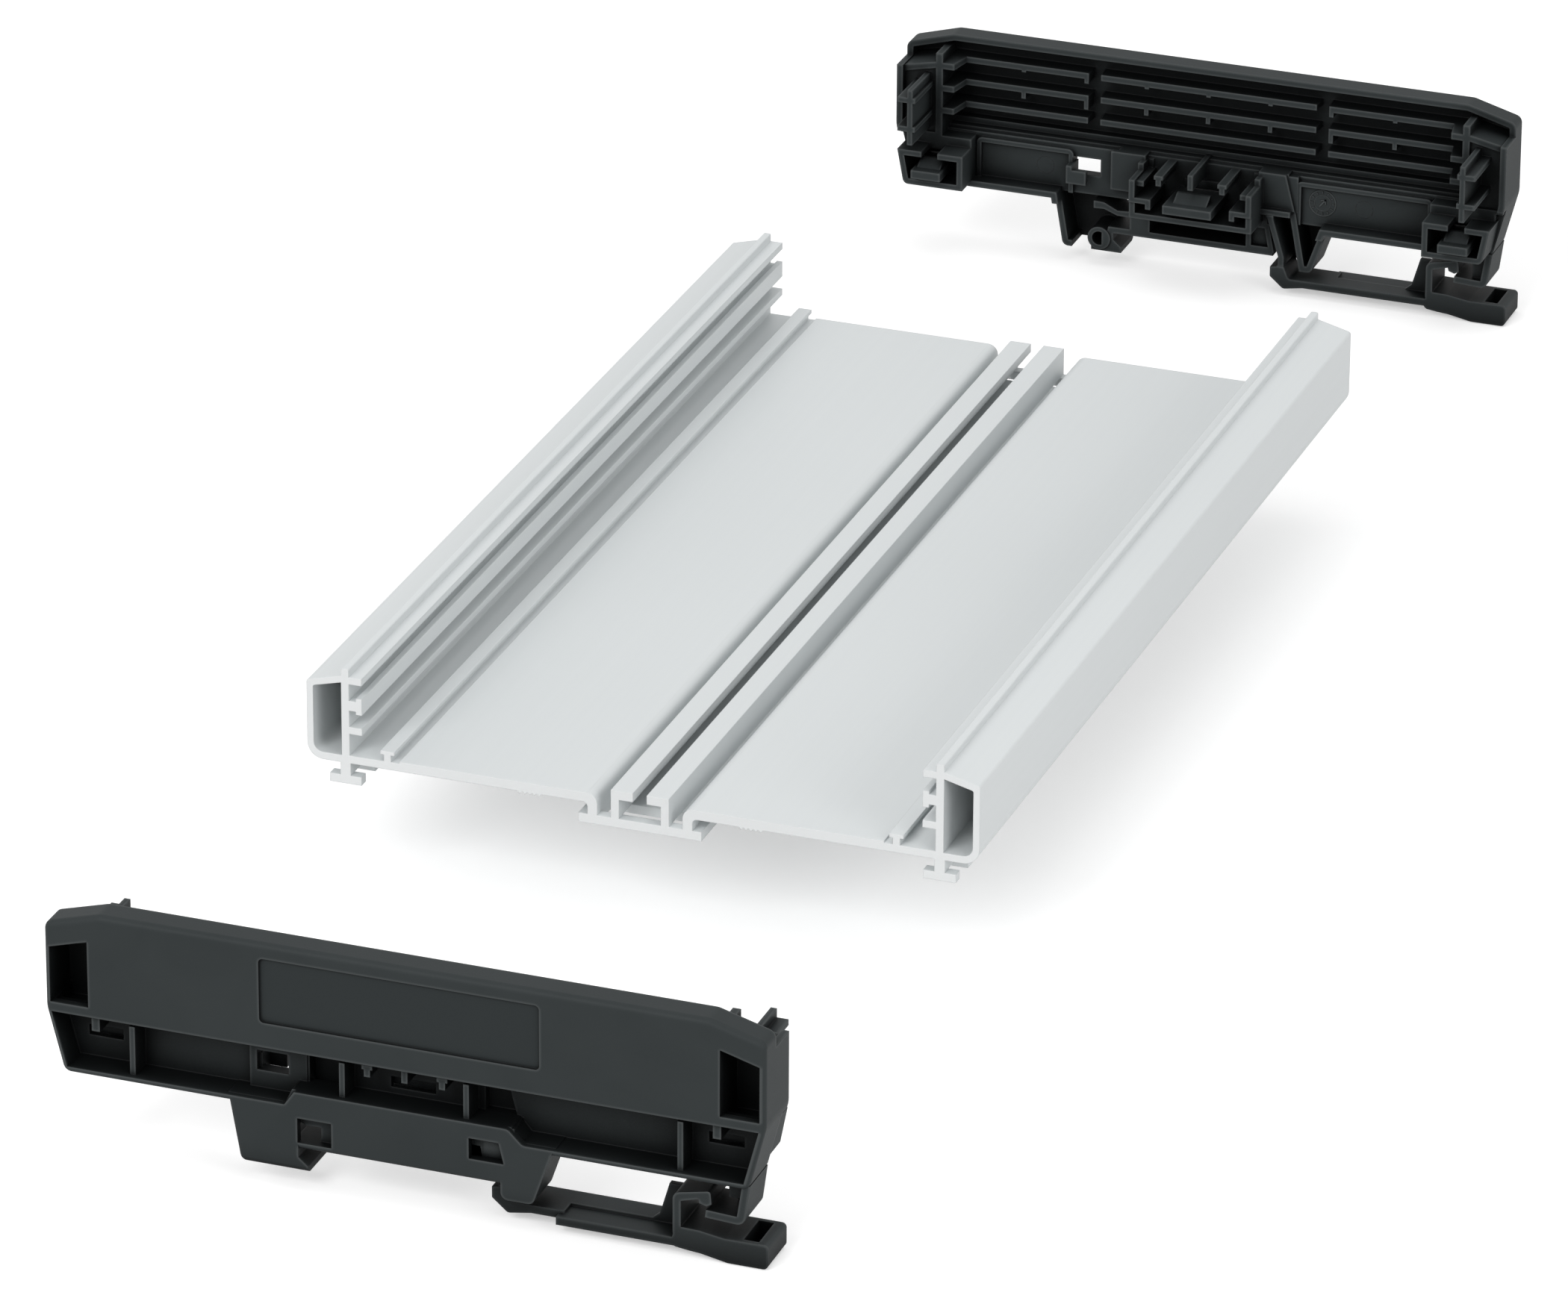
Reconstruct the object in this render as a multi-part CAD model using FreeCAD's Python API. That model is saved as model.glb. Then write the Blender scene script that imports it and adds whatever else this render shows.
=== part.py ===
import FreeCAD, Part
import math
import os

# Enclosure for circuit boards on a 35 mm mounting rail: an extruded base
# profile open at the top, and two moulded side elements, shown taken off.
# Millimetres. Until the last step X runs across the profile from its middle,
# Y along it from its front end, and Z up from the underside of its T rails.
# The pieces are then moved so that the origin lies on the rail seat.

Vector = FreeCAD.Vector

# Arrangement
profile_length = 214.0
pull_off = 100.0            # how far each side element stands off the profile
rail_middle_x = -1.0        # middle of the mounting rail, from the profile's

# Base profile, half of its section
profile_half = 62.5
outer_wall = 1.2
chamber_width = 5.35        # inside the closed chamber at each side
web_thick = 1.45
web_inner = profile_half - outer_wall - chamber_width - web_thick
ridge_top = 22.15
box_top_outer = 19.05
box_top_inner = 20.75
box_roof = 1.3
box_bottom = 4.0
box_floor = 1.4
box_corner_radius = 3.0
lip_reach = 2.4             # how far the board ribs stand in from the web
top_lip = (19.3, 20.6)      # heights of the ribs that hold the boards
middle_neck = (14.2, 16.1)
middle_head = (13.6, 16.7)
middle_head_width = 1.1
low_rib = (9.7, 11.05)
floor_under = 4.0
floor_top = 5.85
floor_edge_top = 5.5
floor_step_x = web_inner - 9.9
small_t_x = web_inner - 7.15
small_t_stem = 1.3
small_t_cap = 2.6
small_t_heights = (6.8, 7.5)
rail_stem = 1.9
rail_stem_x = web_inner + 0.8
rail_flange = 6.0
rail_flange_thick = 1.6
foot_half = 11.45
foot_plate = 1.75
foot_wall_inner = 7.95
foot_wall_thick = 1.8
foot_bend_radius = 1.6
slot_half = 1.3
slot_wall_outer = 5.4
slot_wall_thick = 1.5
slot_lip = (5.4, 7.1)
tooth_row_x = 20.6
tooth_pitch = 0.9
tooth_count = 5
tooth_depth = 0.45
window_start = 2.0          # openings for the snap tongues, from each end
window_length = 4.4

# Side element: outline, in heights above the T rails' underside
side_clearance = 0.1
skin = 1.5
wall = 1.3
side_half = profile_half + side_clearance + wall
roof_half = side_half - 9.9
roof_z = 25.0
shoulder_z = 22.2
hip_z = 6.5
base_half = side_half - 3.0
base_z = -5.2
edge_round = 1.1
joint_depth = 10.5          # outer face to the end of the profile
joint_gap = 0.2
roof_depth = 5.2
side_depth = joint_depth + 0.9
base_depth = joint_depth - 0.1     # end of the wall at the bottom
foot_depth = 8.0
pocket_depth = 5.5
panel_thick = 1.2
ledge_top = floor_top
ledge_under = ledge_top - 1.25
ledge_start = 2.9           # the ledge lies out of sight behind the skin's lower edge
ledge_end = 5.4
frame_depth = 7.6
plate_face = 4.4            # stepped plate with the square window
deep_panel = 7.2            # panels between the middle ribs
raised = -1.4               # top of the shelf over the rail

rib_x = side_half - 15.15
mid_rib_x = 11.05
rib_half = 0.5
rib_setback = 1.2
plate_left = 28.9           # stepped plate, left of the middle
plate_right = 19.2
foot_opening = 4.0          # half of the opening over the middle tongue
guide_inside = 11.9         # inner side of the guides for the profile's foot
panel_edge = side_half - 15.9

# Side element: foot for the 35 mm rail
rail_width = 35.0
rail_thick = 1.0
rail_play = 0.1
seat_z = -12.0
hook_x = rail_middle_x - rail_width / 2 - rail_play
latch_face_x = rail_middle_x + rail_width / 2 + rail_play
hook_reach = 1.75
foot_bottom = -16.1
foot_left = hook_x - 10.6
foot_left_top = foot_left - 1.9
tooth_left = latch_face_x + 0.9
tooth_right = tooth_left + 5.7
tooth_right_top = tooth_right + 3.2
tooth_bottom = -14.6
tooth_leg_top = tooth_left + 0.8        # left edge of the tooth's inner leg, above and below
tooth_leg_bottom = tooth_left + 3.2
shelf_step_x = tooth_right - 1.8        # foot of the shelf's slanted right end

# Side element: what enters or grips the profile
clip_half = 6.45
clip_top = 3.05
clip_bottom = -4.3
clip_wall = 1.2
clip_reach = 5.2            # past the end of the profile
clip_slot = 3.4
grip_clearance = 0.2
plug_x = web_inner + web_thick + 1.8
plug_bar_x = plug_x + 0.75
plug_bar_half = 1.85
plug_thick = 1.1
plug_reach = 10.4
plug_bottom = 6.3
plug_top = 18.1
plug_bars = (9.7, 15.9)
tongue_thick = 1.8
tongue_half = 3.1
tongue_reach = window_start + 5.6
nose_end = window_start + window_length - 0.2
nose_half = 2.45
nose_rise = 1.4
guide_thick = 1.2
guide_reach = 5.6

# Foot latch and its flexure arm
latch_front = 0.7
latch_back = 9.6
latch_setback = 2.2
# The arm starts clear of the guide beside the profile's foot
arm_top_x = max(latch_face_x - 2.55, foot_half + grip_clearance + guide_thick + 0.2)
arm_thick = 1.25
arm_root_z = raised - 1.3
arm_tip_z = -13.3
arm_low_z = -11.4           # below this height the arm runs straight down
arm_low_x = latch_face_x + 0.1
bar_top = -15.9
bar_bottom = -17.4
bar_step = 0.5              # the outer half of the bar lies lower
latch_tip = latch_face_x - 1.5
upright_x = base_half - 13.3
upright_thick = 1.4
tab_right = base_half + 3.4
tab_top = -15.0
tab_bottom = -19.4


def outline(points):
    """Closed wire in the XZ plane from (x, z, radius) corners."""
    count = len(points)
    ends = []
    for i in range(count):
        x, z, radius = points[i]
        here = Vector(x, 0, z)
        before = Vector(points[i - 1][0], 0, points[i - 1][1]) - here
        after = Vector(points[(i + 1) % count][0], 0, points[(i + 1) % count][1]) - here
        if radius == 0:
            ends.append((here, here, here))
            continue
        half_angle = before.getAngle(after) / 2
        run = radius / math.tan(half_angle)
        before.normalize()
        after.normalize()
        middle = before + after
        middle.normalize()
        centre = here + middle * (radius / math.sin(half_angle))
        ends.append((here + before * run, centre - middle * radius, here + after * run))
    edges = []
    for i in range(count):
        start, middle, end = ends[i]
        if (end - start).Length > 1e-6:
            edges.append(Part.Arc(start, middle, end).toShape())
        following = ends[(i + 1) % count][0]
        if (following - end).Length > 1e-6:
            edges.append(Part.LineSegment(end, following).toShape())
    return Part.Wire(edges)


def inset(points, distance):
    """The same corners moved inwards by a wall; corners run clockwise from above."""
    count = len(points)
    lines = []
    for i in range(count):
        x0, z0 = points[i][0], points[i][1]
        x1, z1 = points[(i + 1) % count][0], points[(i + 1) % count][1]
        length = math.hypot(x1 - x0, z1 - z0)
        ux, uz = (x1 - x0) / length, (z1 - z0) / length
        lines.append((x0 + uz * distance, z0 - ux * distance, ux, uz))
    moved = []
    for i in range(count):
        ax, az, adx, adz = lines[i - 1]
        bx, bz, bdx, bdz = lines[i]
        cross = adx * bdz - adz * bdx
        t = ((bx - ax) * bdz - (bz - az) * bdx) / cross
        moved.append((ax + adx * t, az + adz * t, max(points[i][2] - distance, 0)))
    return moved


def slab(points, y0, y1):
    """Extrusion along Y of an outline in the XZ plane."""
    solid = Part.Face(outline(points)).extrude(Vector(0, y1 - y0, 0))
    solid.translate(Vector(0, y0, 0))
    return solid


def plate(points, z0, z1):
    """Extrusion along Z of corners (x, y) in the XY plane."""
    corners = [Vector(x, y, z0) for x, y in points]
    return Part.Face(Part.makePolygon(corners + [corners[0]])).extrude(Vector(0, 0, z1 - z0))


def block(x0, x1, y0, y1, z0, z1):
    return Part.makeBox(x1 - x0, y1 - y0, z1 - z0, Vector(x0, y0, z0))


def mirrored(shape):
    return shape.mirror(Vector(0, 0, 0), Vector(1, 0, 0))


def both(shape):
    return [shape, mirrored(shape)]


def joined(shapes):
    return shapes[0].fuse(shapes[1:]).removeSplitter()


def rectangle(x0, x1, z0, z1, radius=0):
    return [(x0, z1, radius), (x1, z1, radius), (x1, z0, radius), (x0, z0, radius)]


# Base profile

def profile_half_section():
    """The right half of the section, as faces in the XZ plane."""
    web_outer = web_inner + web_thick
    lip_x = web_inner - lip_reach
    slope = (box_top_inner - box_top_outer) / (profile_half - web_outer)
    chamber_right = profile_half - outer_wall
    chamber_roof_right = box_top_outer - box_roof + slope * outer_wall
    chamber_roof_left = box_top_inner - box_roof
    box = [
        (web_inner, box_bottom, 0),
        (web_inner, ridge_top, 0.3),
        (web_outer, ridge_top, 0.3),
        (web_outer, box_top_inner, 0),
        (profile_half, box_top_outer, 0.6),
        (profile_half, box_bottom, box_corner_radius),
    ]
    chamber = [
        (web_outer, box_bottom + box_floor, 0),
        (web_outer, chamber_roof_left, 0),
        (chamber_right, chamber_roof_right, 0.4),
        (chamber_right, box_bottom + box_floor, box_corner_radius - outer_wall),
    ]
    head_right = lip_x + middle_head_width
    strips = [
        rectangle(lip_x, web_inner + 0.5, top_lip[0], top_lip[1]),
        rectangle(lip_x, web_inner + 0.5, middle_neck[0], middle_neck[1]),
        rectangle(lip_x, head_right, middle_head[0], middle_head[1]),
        rectangle(lip_x, web_inner + 0.5, low_rib[0], low_rib[1]),
        rectangle(floor_step_x, web_inner + 0.5, floor_under, floor_edge_top),
        rectangle(foot_wall_inner + foot_wall_thick, floor_step_x + 0.5, floor_under, floor_top),
        rectangle(small_t_x - small_t_stem / 2, small_t_x + small_t_stem / 2,
                  floor_under + 0.5, small_t_heights[1] - 0.2),
        rectangle(small_t_x - small_t_cap / 2, small_t_x + small_t_cap / 2,
                  small_t_heights[0], small_t_heights[1]),
        rectangle(rail_stem_x - rail_stem / 2, rail_stem_x + rail_stem / 2, 0.5, box_bottom + 0.5),
        rectangle(rail_stem_x - rail_flange / 2, rail_stem_x + rail_flange / 2,
                  0, rail_flange_thick),
    ]
    faces = [Part.Face(outline(box)).cut(Part.Face(outline(chamber)))]
    faces += [Part.Face(outline(strip)) for strip in strips]
    return faces


def foot_section():
    """The middle foot: a wide plate, two curved walls and a T slot."""
    wall_outer = foot_wall_inner + foot_wall_thick
    bend = [
        (foot_wall_inner, foot_plate - 0.5, 0),
        (foot_wall_inner, floor_top, foot_bend_radius + 0.4),
        (wall_outer + 3.0, floor_top, 0),
        (wall_outer + 3.0, floor_under, 0),
        (wall_outer, floor_under, 0.9),
        (wall_outer, foot_plate - 0.5, 0),
    ]
    slot_wall = rectangle(slot_wall_outer - slot_wall_thick, slot_wall_outer,
                          foot_plate - 0.5, slot_lip[1] - 0.3)
    lip = rectangle(slot_half, slot_wall_outer, slot_lip[0], slot_lip[1], 0)
    return [Part.Face(outline(shape)) for shape in (bend, slot_wall, lip)]


def serration():
    """Fine teeth under the floor, which mark the middle of each channel."""
    teeth = []
    for i in range(tooth_count):
        x = tooth_row_x + (i - (tooth_count - 1) / 2) * tooth_pitch
        teeth.append([(x - tooth_pitch / 2, floor_under + 0.3, 0),
                      (x + tooth_pitch / 2, floor_under + 0.3, 0),
                      (x + tooth_pitch / 2, floor_under, 0),
                      (x, floor_under - tooth_depth, 0),
                      (x - tooth_pitch / 2, floor_under, 0)])
    return [Part.Face(outline(tooth)) for tooth in teeth]


def base_profile():
    halves = profile_half_section() + foot_section() + serration()
    base_plate = Part.Face(outline(rectangle(-foot_half, foot_half, 0, foot_plate)))
    faces = halves + [mirrored(face) for face in halves] + [base_plate]
    solids = [face.extrude(Vector(0, profile_length, 0)) for face in faces]
    body = joined(solids)
    openings = []
    for start in (window_start, profile_length - window_start - window_length):
        end = start + window_length
        openings.append(block(-foot_wall_inner, foot_wall_inner, start, end, -1, foot_plate))
        flange = block(rail_stem_x - rail_flange / 2 - 1, rail_stem_x + rail_flange / 2 + 1,
                       start, end, -1, rail_flange_thick)
        openings += both(flange)
    return body.cut(openings[0].fuse(openings[1:]))


# Side element, front one, in its place on the profile

def at(depth):
    """Y of a depth measured from the outer face."""
    return depth - joint_depth


def side_outline():
    """Outer edge of the side element with its foot, clockwise from above."""
    return [
        (-roof_half, roof_z, 3.0),
        (roof_half, roof_z, 3.0),
        (side_half, shoulder_z, 1.6),
        (side_half, hip_z, 6.0),
        (base_half, base_z, 1.6),
        (tooth_right_top, base_z, 0),
        (tooth_right, tooth_bottom, 1.3),
        (tooth_left, tooth_bottom, 1.3),
        (tooth_left, seat_z, 0),
        (hook_x, seat_z, 0),
        (hook_x, seat_z - rail_thick - 0.4, 0),
        (hook_x + hook_reach, seat_z - rail_thick - 1.9, 0),
        (hook_x + hook_reach, foot_bottom, 0),
        (foot_left, foot_bottom, 1.3),
        (foot_left_top, base_z, 0),
        (-base_half, base_z, 1.6),
        (-side_half, hip_z, 6.0),
        (-side_half, shoulder_z, 1.6),
    ]


def hollow_outline():
    """Inner edge of the walls, before their thickness; the fixed hook stays solid."""
    corners = side_outline()
    hook = corners.index((hook_x, seat_z, 0))
    return corners[:hook + 1] + [(hook_x - 1.0, foot_bottom, 0)] + corners[hook + 4:]


def side_shell():
    """Skin with its walls, deepest at the sides and shallow at the roof."""
    shell = slab(side_outline(), at(0), at(side_depth))
    front_edges = []
    for edge in shell.Edges:
        box = edge.BoundBox
        at_hook = hook_x - 0.1 < box.Center.x < hook_x + hook_reach + 0.1
        at_tooth = tooth_left - 0.1 < box.Center.x < tooth_right_top and box.Center.z < base_z - 0.1
        if box.YMax < at(0) + 1e-6 and not at_hook and not at_tooth:
            front_edges.append(edge)
    shell = shell.makeFillet(edge_round, front_edges)
    shell = shell.cut(slab(inset(hollow_outline(), wall), at(skin), at(side_depth + 1)))
    end = at(side_depth + 1)
    above = block(-80, 80, at(roof_depth), end, box_top_outer + 0.4, roof_z + 1)
    below = block(-80, 80, at(foot_depth), end, foot_bottom - 1, base_z - 1.2)
    base = block(-80, 80, at(base_depth), end, base_z - 1.2, 0)
    hip = slab([(56, 3.2, 0), (59, 5.4, 0), (80, 5.4, 0), (80, base_z - 1, 0), (56, base_z - 1, 0)],
               at(9.0), end)
    # Between its left wall and the tube the foot has no wall underneath
    under_foot = block(foot_left + 1.9, hook_x - 4.6, at(skin), end,
                       foot_bottom - 1, foot_bottom + wall + 0.1)
    return shell.cut([above, below, base, under_foot, latch_room()] + both(hip))


def latch_room():
    """Space behind the skin for the arm and the nose of the foot latch."""
    room = [(arm_top_x - 0.2, arm_root_z, 0), (tooth_leg_top + 0.3, arm_root_z, 0),
            (tooth_leg_bottom + 0.3, tooth_bottom - 1, 0), (arm_low_x - 1.0, tooth_bottom - 1, 0)]
    return slab(room, at(skin + 0.2), at(side_depth + 1))


def inner_outline_slab(z0, z1, depth0, depth1):
    """A wall across the side element between two heights."""
    inside = slab(inset(side_outline(), wall / 2), at(depth0), at(depth1))
    return inside.common(block(-80, 80, at(depth0), at(depth1), z0, z1))


def profile_lines():
    """Walls that carry on the profile's section up to the skin."""
    depth = joint_depth - joint_gap
    web_outer = web_inner + web_thick
    shapes = [block(web_inner, web_outer, at(skin - 0.5), at(depth), ledge_under - 1.6, ridge_top + 0.4)]
    roof = [(web_inner + 0.5, box_top_inner + 0.1, 0), (side_half - wall / 2, box_top_outer, 0),
            (side_half - wall / 2, box_top_outer - box_roof, 0),
            (web_inner + 0.5, box_top_inner + 0.1 - box_roof, 0)]
    shapes.append(slab(roof, at(skin - 0.5), at(depth)))
    back = block(web_inner + 0.5, side_half - wall / 2, at(8.4), at(9.6), ledge_under, box_top_outer)
    shapes.append(back)
    walls = []
    for shape in shapes:
        walls += both(shape)
    walls.append(inner_outline_slab(ledge_under, ledge_top, ledge_start, ledge_end))
    walls += both(block(web_inner, side_half - wall / 2, at(ledge_end - 0.5), at(depth),
                        ledge_under, ledge_top - 0.4))
    # Ceiling of the lower pockets, between the ledge and the skin
    walls.append(inner_outline_slab(ledge_top - 0.3, ledge_top + 1.2, skin - 0.5, ledge_start + 0.7))
    return walls


def board_rows():
    """Three rows of ribs in line with the profile's board ribs."""
    gap_x = 23.95
    gap_half = 1.05
    gap_slant = 0.25
    rib_depth = 5.2
    thick = 1.3
    ramp_x = web_inner - 3.3
    heights = ((top_lip[0] + top_lip[1]) / 2, (middle_head[0] + middle_head[1]) / 2,
               (low_rib[0] + low_rib[1]) / 2)
    lip_x = web_inner - lip_reach
    shapes = []
    for height in heights:
        z0 = height - thick / 2
        outer_row = [(gap_x + gap_half, at(skin - 0.5)), (gap_x + gap_half + gap_slant, at(rib_depth)),
                     (ramp_x, at(rib_depth)), (lip_x, at(joint_depth - joint_gap)),
                     (web_inner + 0.5, at(joint_depth - joint_gap)), (web_inner + 0.5, at(skin - 0.5))]
        shapes += both(plate(outer_row, z0, z0 + thick))
        middle_row = [(-gap_x + gap_half, at(skin - 0.5)), (-gap_x + gap_half + gap_slant, at(rib_depth)),
                      (gap_x - gap_half - gap_slant, at(rib_depth)), (gap_x - gap_half, at(skin - 0.5))]
        shapes.append(plate(middle_row, z0, z0 + thick))
    # Short ticks under the upper two rows, and taller ones at the gaps
    tick_half = 0.45
    end_x = gap_x + gap_half + gap_slant + tick_half
    ticks = [(x, 0.6, 1.5) for x in (-39.0, -13.0, 0.0, 13.0, 39.0)]
    ticks += [(x, 1.2, 2.0) for x in (-end_x, end_x)]
    for x, upper_drop, middle_drop in ticks:
        for height, drop in ((heights[0], upper_drop), (heights[1], middle_drop)):
            z1 = height - thick / 2 + 0.2
            shapes.append(block(x - tick_half, x + tick_half, at(skin - 0.5), at(rib_depth),
                                z1 - drop, z1))
    return shapes


def plug():
    """Blade with two crossbars that enters the profile's side chamber."""
    y0, y1 = at(8.8), plug_reach
    blade = block(plug_x - plug_thick / 2, plug_x + plug_thick / 2, y0, y1, plug_bottom, plug_top)
    shapes = [blade]
    for height in plug_bars:
        shapes.append(block(plug_bar_x - plug_bar_half, plug_bar_x + plug_bar_half, y0, y1,
                            height - plug_thick / 2, height + plug_thick / 2))
    return shapes


def snap_tongue(x, half, rise_half, z_top):
    """Cantilever with a ramped nose that snaps into an opening of the profile."""
    y_root = at(pocket_depth + 0.3)
    tongue = block(x - half, x + half, y_root, tongue_reach, z_top - tongue_thick, z_top)
    catch = window_start + 0.3
    nose = Part.Face(Part.makePolygon([
        Vector(x - rise_half, catch, z_top - 0.3),
        Vector(x - rise_half, catch, z_top + nose_rise),
        Vector(x - rise_half, catch + 0.7, z_top + nose_rise),
        Vector(x - rise_half, nose_end, z_top - 0.3),
        Vector(x - rise_half, catch, z_top - 0.3),
    ])).extrude(Vector(2 * rise_half, 0, 0))
    return [tongue, nose]


def clip_box():
    """C-shaped box that slides onto the profile's T rail, right-hand one."""
    x = rail_stem_x
    y0, y1 = at(pocket_depth), clip_reach
    left, right = x - clip_half - clip_wall / 2, x + clip_half
    outer = [(left, clip_top, 0), (right + 0.4, clip_top, 0),
             (right - 1.0, clip_bottom, 1.2), (left, clip_bottom, 0)]
    shape = slab(outer, y0, y1).cut(slab(inset(outer, clip_wall), y0 - 1, y1 + 1))
    slot = block(x - clip_slot / 2, x + clip_slot / 2, at(joint_depth - joint_gap), y1 + 1,
                 clip_top - clip_wall - 0.2, clip_top + 1)
    shape = shape.cut(slot)
    root = block(left + 0.3, right - 1.5, at(pocket_depth), at(pocket_depth + panel_thick),
                 clip_bottom + 0.5, -grip_clearance - 0.2)
    lid = block(left, right, at(pocket_depth), at(joint_depth - joint_gap),
                clip_top - 0.5, ledge_under + 0.3)
    return [shape, root, lid] + snap_tongue(x, tongue_half, nose_half, -grip_clearance)


def middle_receptacle():
    """Guides and a snap tongue around the profile's foot plate."""
    y0 = at(pocket_depth)
    inner = foot_half + grip_clearance
    outer = inner + guide_thick
    floor_z = clip_bottom - 0.5
    guide = block(inner, outer, y0, guide_reach, floor_z, ledge_under + 0.3)
    # Past the end of the profile the guide stays below its floor and ends at its jaw
    end = at(joint_depth - joint_gap)
    guide = guide.cut([block(inner - 1, outer + 1, end, guide_reach + 1,
                             floor_under - grip_clearance - 0.3, ledge_top + 1),
                       block(inner - 1, outer + 1, clip_reach, guide_reach + 1,
                             floor_z - 1, -grip_clearance - 1.1)])
    upper_jaw = block(foot_wall_inner + foot_wall_thick + 0.35, outer, y0, guide_reach - 1.2,
                      foot_plate + grip_clearance, foot_plate + grip_clearance + 1.1)
    lower_jaw = block(inner - 3.4, outer, y0, guide_reach,
                      -grip_clearance - 1.1, -grip_clearance)
    stop = block(inner - 3.4, inner - 2.3, y0, guide_reach, -grip_clearance - 2.2, -grip_clearance - 0.5)
    bottom = block(-outer, outer, y0, clip_reach, floor_z, floor_z + 1.2)
    root = block(-outer, outer, y0, at(pocket_depth + panel_thick), floor_z + 0.5,
                 -grip_clearance - 0.2)
    shapes = both(guide) + both(upper_jaw) + both(lower_jaw) + both(stop) + [bottom, root]
    middle_of_channel = (slot_wall_outer + foot_wall_inner) / 2
    blade = block(middle_of_channel - 0.55, middle_of_channel + 0.55, at(skin), guide_reach,
                  foot_plate + 1.2, ledge_under + 0.4)
    flag = block(middle_of_channel - 0.95, middle_of_channel + 0.95, at(skin), guide_reach,
                 ledge_under - 0.3, ledge_under + 0.5)
    shapes += both(blade) + both(flag)
    shapes.append(block(-0.55, 0.55, at(skin), guide_reach, foot_plate + 1.2, ledge_under + 1.6))
    return shapes + snap_tongue(0, slot_wall_outer - 0.3, slot_wall_outer - 1.9, -grip_clearance)


def lower_panels():
    """Set-back panels of the lower half, with their ribs and frames."""
    z_low = base_z + 0.4
    panel = inner_outline_slab(z_low, ledge_top - 0.4, pocket_depth, pocket_depth + panel_thick)
    end = at(pocket_depth + panel_thick + 1)
    start = at(pocket_depth - 1)
    through = [block(x - tongue_half, x + tongue_half, start, end, -grip_clearance, foot_plate)
               for x in (-rail_stem_x, rail_stem_x)]
    through.append(block(-foot_opening, foot_opening, start, end, -grip_clearance, foot_plate))
    through.append(block(-plate_right, -guide_inside, start, end, raised - 1.2, ledge_under - 0.3))
    through.append(block(guide_inside, plate_right, start, end, raised - 1.2, ledge_under - 0.3))
    panel = panel.cut(through + [latch_room()])
    shapes = [panel]
    # Deeper panels beside the receptacle, under their own stretch of ledge
    deep = [(-plate_right, ledge_top, 0), (-guide_inside, ledge_top, 0), (-guide_inside, -2.4, 0),
            (-plate_right, -2.4, 0)]
    shapes.append(slab(deep, at(deep_panel), at(deep_panel + panel_thick)))
    slanted = [(guide_inside, ledge_top, 0), (plate_right - 1.6, ledge_top, 0),
               (plate_right + 0.4, raised - 0.4, 0), (guide_inside, raised - 0.4, 0)]
    shapes.append(slab(slanted, at(deep_panel), at(deep_panel + panel_thick)))
    shapes += both(block(guide_inside, plate_right - 1.2, at(ledge_start), at(deep_panel + 0.5),
                         ledge_under, ledge_top))
    shapes.append(block(-plate_right, 1.0 - plate_right, at(plate_face + 0.2), at(deep_panel + 0.5),
                        -2.4, ledge_top - 0.4))
    shapes.append(slab([(plate_right - 2.6, ledge_top - 0.4, 0), (plate_right + 0.8, ledge_top - 0.4, 0),
                        (plate_right + 0.8, raised - 0.8, 0), (plate_right - 0.6, raised - 0.8, 0)],
                       at(pocket_depth), at(deep_panel + 0.5)))
    # Floor of the pockets above the foot and above the tooth
    for x0, x1 in ((-plate_left - 2.5, -plate_right - 1.2), (shelf_step_x - 1.0, tooth_right_top + 0.6)):
        shapes.append(block(x0, x1, at(skin - 0.5), at(pocket_depth + 0.3), base_z, base_z + wall))
    # Ribs between the pockets, set back from the outer face
    for x, z in ((rib_x, base_z + 0.6), (-rib_x, base_z + 0.6),
                 (mid_rib_x, raised - 0.5), (-mid_rib_x, raised - 0.5)):
        shapes.append(block(x - rib_half, x + rib_half, at(rib_setback), at(deep_panel),
                            z, ledge_under + 0.3))
    # Frames around the two wide panels
    border = 1.0
    for x0, x1 in ((-panel_edge, -plate_left + 1.5), (plate_right + 0.4, panel_edge)):
        frame = slab([(x0, ledge_under, 1.2), (x1, ledge_under, 1.2),
                      (x1, base_z + 0.5, 0), (x0, base_z + 0.5, 0)],
                     at(pocket_depth + 0.3), at(frame_depth))
        hole = slab(rectangle(x0 + border, x1 - border, base_z - 2, ledge_under - border),
                    at(pocket_depth), at(frame_depth + 1))
        shapes.append(frame.cut(hole))
    return shapes


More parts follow.
